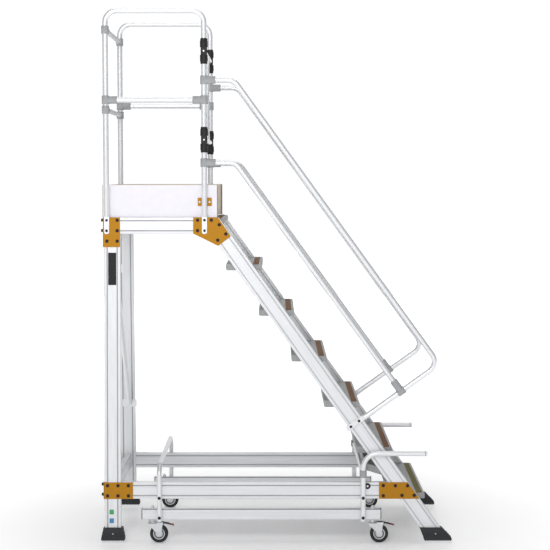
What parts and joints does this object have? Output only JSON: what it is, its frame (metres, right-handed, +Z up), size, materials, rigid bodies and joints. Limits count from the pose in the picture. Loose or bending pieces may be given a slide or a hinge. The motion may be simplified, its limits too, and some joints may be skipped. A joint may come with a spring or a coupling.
{
  "type": "mobile ladder stand",
  "caption": "Aluminium mobile step platform: ribbed treads, guardrails, two-leaf gate, bent handrails, and castors lifted and lowered by a lever pair",
  "frame": {"origin": "centre of the bounding box in plan, on the floor under the lowered castors", "axes": "+X from the platform to the foot of the stair, +Y to the climber's right, +Z up"},
  "size_m": [1.916, 0.962, 2.91],
  "materials": {
    "aluminium_profile": "natural extruded aluminium, satin",
    "rail_tube": "satin anodised round tube",
    "tread_grip": "ribbed aluminium tread, worn grey brown",
    "gold_plate": "golden orange lacquered steel plate, smooth",
    "black_plastic": "moulded black, matt",
    "foot_rubber": "dark grey rubber boot",
    "zinc_plated": "bright zinc plated pressed steel",
    "castor_tyre": "solid black tyre on a grey hub",
    "white_board": "white coated board, satin"
  },
  "bodies": {
    "frame": {"left_rear_leg": "aluminium_profile", "left_platform_beam": "aluminium_profile", "left_stringer": "aluminium_profile", "left_base_rail": "aluminium_profile", "left_rear_top_plate": "gold_plate", "left_rear_base_plate": "gold_plate", "left_front_top_plate": "gold_plate", "left_front_base_plate": "gold_plate", "left_rear_foot": "foot_rubber", "left_front_foot": "foot_rubber", "left_guardrail": "rail_tube", "left_handrail": "rail_tube", "left_upper_gate_clamp": "black_plastic", "left_lower_gate_clamp": "black_plastic", "right_rear_leg": "aluminium_profile", "right_platform_beam": "aluminium_profile", "right_stringer": "aluminium_profile", "right_base_rail": "aluminium_profile", "right_rear_top_plate": "gold_plate", "right_rear_base_plate": "gold_plate", "right_front_top_plate": "gold_plate", "right_front_base_plate": "gold_plate", "right_rear_foot": "foot_rubber", "right_front_foot": "foot_rubber", "right_guardrail": "rail_tube", "right_handrail": "rail_tube", "right_upper_gate_clamp": "black_plastic", "right_lower_gate_clamp": "black_plastic", "rear_top_beam": "aluminium_profile", "rear_base_beam": "aluminium_profile", "rear_diagonal_brace": "rail_tube", "front_tie_plank": "tread_grip", "platform_deck": "tread_grip", "tread_1": "tread_grip", "tread_2": "tread_grip", "tread_3": "tread_grip", "tread_4": "tread_grip", "tread_5": "tread_grip", "tread_6": "tread_grip", "toe_board": "white_board", "rear_upper_rail": "rail_tube", "rear_lower_rail": "rail_tube"},
    "castor_lever": {"castor_lever": "rail_tube"},
    "rear_hoop": {"rear_hoop": "rail_tube"},
    "castor_carriage": {"left_castor_carrier": "aluminium_profile", "right_castor_carrier": "aluminium_profile"},
    "left_rear_castor_fork": {"left_rear_castor_fork": "zinc_plated"},
    "left_rear_castor_wheel": {"left_rear_castor_wheel": "castor_tyre"},
    "left_rear_brake_pedal": {"left_rear_brake_pedal": "black_plastic"},
    "left_front_castor_fork": {"left_front_castor_fork": "zinc_plated"},
    "left_front_castor_wheel": {"left_front_castor_wheel": "castor_tyre"},
    "left_front_brake_pedal": {"left_front_brake_pedal": "black_plastic"},
    "right_rear_castor_fork": {"right_rear_castor_fork": "zinc_plated"},
    "right_rear_castor_wheel": {"right_rear_castor_wheel": "castor_tyre"},
    "right_rear_brake_pedal": {"right_rear_brake_pedal": "black_plastic"},
    "right_front_castor_fork": {"right_front_castor_fork": "zinc_plated"},
    "right_front_castor_wheel": {"right_front_castor_wheel": "castor_tyre"},
    "right_front_brake_pedal": {"right_front_brake_pedal": "black_plastic"},
    "left_gate_leaf": {"left_gate_leaf": "rail_tube"},
    "right_gate_leaf": {"right_gate_leaf": "rail_tube"}
  },
  "joints": [
    {"name": "castor_lever_hinge", "type": "hinge", "parent": "frame", "child": "castor_lever", "pos_m": [0.473, 0, 0.254], "axis": [0, -1, 0], "range_deg": [0, 38]},
    {"name": "rear_hoop_hinge", "type": "hinge", "parent": "frame", "child": "rear_hoop", "pos_m": [-0.638, 0, 0.254], "axis": [0, -1, 0], "range_deg": [0, 38]},
    {"name": "carriage_hinge", "type": "hinge", "parent": "castor_lever", "child": "castor_carriage", "pos_m": [0.473, 0, 0.1445], "axis": [0, -1, 0], "range_deg": [-38, 0]},
    {"name": "left_rear_castor_swivel", "type": "hinge", "parent": "castor_carriage", "child": "left_rear_castor_fork", "pos_m": [-0.679, -0.427, 0.116], "axis": [0, 0, 1], "continuous": true},
    {"name": "left_rear_wheel_axle", "type": "hinge", "parent": "left_rear_castor_fork", "child": "left_rear_castor_wheel", "pos_m": [-0.643, -0.427, 0.05], "axis": [0, 1, 0], "continuous": true},
    {"name": "left_rear_brake_pedal_hinge", "type": "hinge", "parent": "left_rear_castor_fork", "child": "left_rear_brake_pedal", "pos_m": [-0.639, -0.427, 0.107], "axis": [0, 1, 0], "range_deg": [0, 10]},
    {"name": "left_front_castor_swivel", "type": "hinge", "parent": "castor_carriage", "child": "left_front_castor_fork", "pos_m": [0.527, -0.427, 0.116], "axis": [0, 0, 1], "continuous": true},
    {"name": "left_front_wheel_axle", "type": "hinge", "parent": "left_front_castor_fork", "child": "left_front_castor_wheel", "pos_m": [0.563, -0.427, 0.05], "axis": [0, 1, 0], "continuous": true},
    {"name": "left_front_brake_pedal_hinge", "type": "hinge", "parent": "left_front_castor_fork", "child": "left_front_brake_pedal", "pos_m": [0.567, -0.427, 0.107], "axis": [0, 1, 0], "range_deg": [0, 10]},
    {"name": "right_rear_castor_swivel", "type": "hinge", "parent": "castor_carriage", "child": "right_rear_castor_fork", "pos_m": [-0.679, 0.427, 0.116], "axis": [0, 0, 1], "continuous": true},
    {"name": "right_rear_wheel_axle", "type": "hinge", "parent": "right_rear_castor_fork", "child": "right_rear_castor_wheel", "pos_m": [-0.643, 0.427, 0.05], "axis": [0, 1, 0], "continuous": true},
    {"name": "right_rear_brake_pedal_hinge", "type": "hinge", "parent": "right_rear_castor_fork", "child": "right_rear_brake_pedal", "pos_m": [-0.639, 0.427, 0.107], "axis": [0, 1, 0], "range_deg": [0, 10]},
    {"name": "right_front_castor_swivel", "type": "hinge", "parent": "castor_carriage", "child": "right_front_castor_fork", "pos_m": [0.527, 0.427, 0.116], "axis": [0, 0, 1], "continuous": true},
    {"name": "right_front_wheel_axle", "type": "hinge", "parent": "right_front_castor_fork", "child": "right_front_castor_wheel", "pos_m": [0.563, 0.427, 0.05], "axis": [0, 1, 0], "continuous": true},
    {"name": "right_front_brake_pedal_hinge", "type": "hinge", "parent": "right_front_castor_fork", "child": "right_front_brake_pedal", "pos_m": [0.567, 0.427, 0.107], "axis": [0, 1, 0], "range_deg": [0, 10]},
    {"name": "left_gate_hinge", "type": "hinge", "parent": "frame", "child": "left_gate_leaf", "pos_m": [-0.39, -0.376, 2.4395], "axis": [0, 0, 1], "range_deg": [0, 80], "stiffness_Nm_per_rad": 4, "springref_deg": -8.59},
    {"name": "right_gate_hinge", "type": "hinge", "parent": "frame", "child": "right_gate_leaf", "pos_m": [-0.39, 0.376, 2.4395], "axis": [0, 0, -1], "range_deg": [0, 80], "stiffness_Nm_per_rad": 4, "springref_deg": -8.59}
  ],
  "couplings": [
    {"joint": "rear_hoop_hinge", "follows": "castor_lever_hinge", "ratio": 1},
    {"joint": "carriage_hinge", "follows": "castor_lever_hinge", "ratio": -1}
  ]
}
